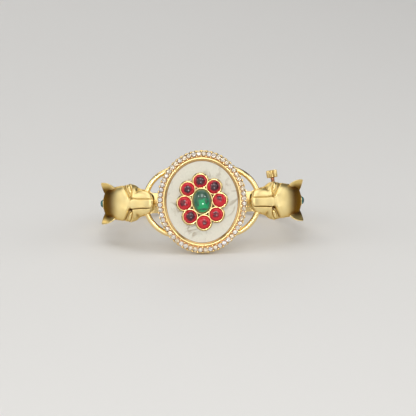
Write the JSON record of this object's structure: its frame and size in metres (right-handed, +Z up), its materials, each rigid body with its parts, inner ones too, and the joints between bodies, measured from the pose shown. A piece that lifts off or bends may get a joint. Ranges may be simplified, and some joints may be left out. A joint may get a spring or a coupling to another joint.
{
  "type": "kada bangle",
  "caption": "Hinged oval kada bangle in satin gold with big-cat heads holding a stone-set mother-of-pearl oval, closed by a knurled screw.",
  "frame": {"origin": "centre of the object's box at the table that it lies on", "axes": "+X to the wearer's screw side as the front is seen, -Y to the medallion's front, +Z up from the table; the bangle's own axis leans 14.1 degrees from +Z towards +Y"},
  "size_m": [0.0698, 0.059, 0.0335],
  "materials": {
    "polished_gold": "polished gold plate on brass",
    "satin_gold": "fine brushed matt gold plate on cast brass",
    "knurled_gold": "knurled gold plate on brass",
    "mother_of_pearl": "polished mother-of-pearl with soft grey veins",
    "red_stone": "polished red cabochon",
    "green_stone": "polished green cabochon",
    "white_stone": "cut white zircon",
    "teal_stone": "polished dark teal cabochon"
  },
  "bodies": {
    "back": {"hoop": "polished_gold", "right_side_stone": "teal_stone"},
    "front": {"medallion_frame": "polished_gold", "pearl_plate": "mother_of_pearl", "flower_mount": "polished_gold", "ruby_1": "red_stone", "ruby_2": "red_stone", "ruby_3": "red_stone", "ruby_4": "red_stone", "ruby_5": "red_stone", "ruby_6": "red_stone", "ruby_7": "red_stone", "ruby_8": "red_stone", "emerald": "green_stone", "zircon_ring": "white_stone", "left_head": "satin_gold", "right_head": "satin_gold", "left_neck": "polished_gold", "hinge_pin": "polished_gold", "left_side_stone": "teal_stone"},
    "screw": {"clasp_screw": "knurled_gold"}
  },
  "joints": [
    {"name": "hoop_hinge", "type": "hinge", "parent": "back", "child": "front", "pos_m": [-0.031, 0.00994, 0.00811], "axis": [0, -0.2438, -0.9698], "range_deg": [0, 60]},
    {"name": "screw_travel", "type": "slide", "parent": "front", "child": "screw", "axis": [-0.1392, 0.2414, 0.9604], "range_m": [0, 0.004]}
  ]
}
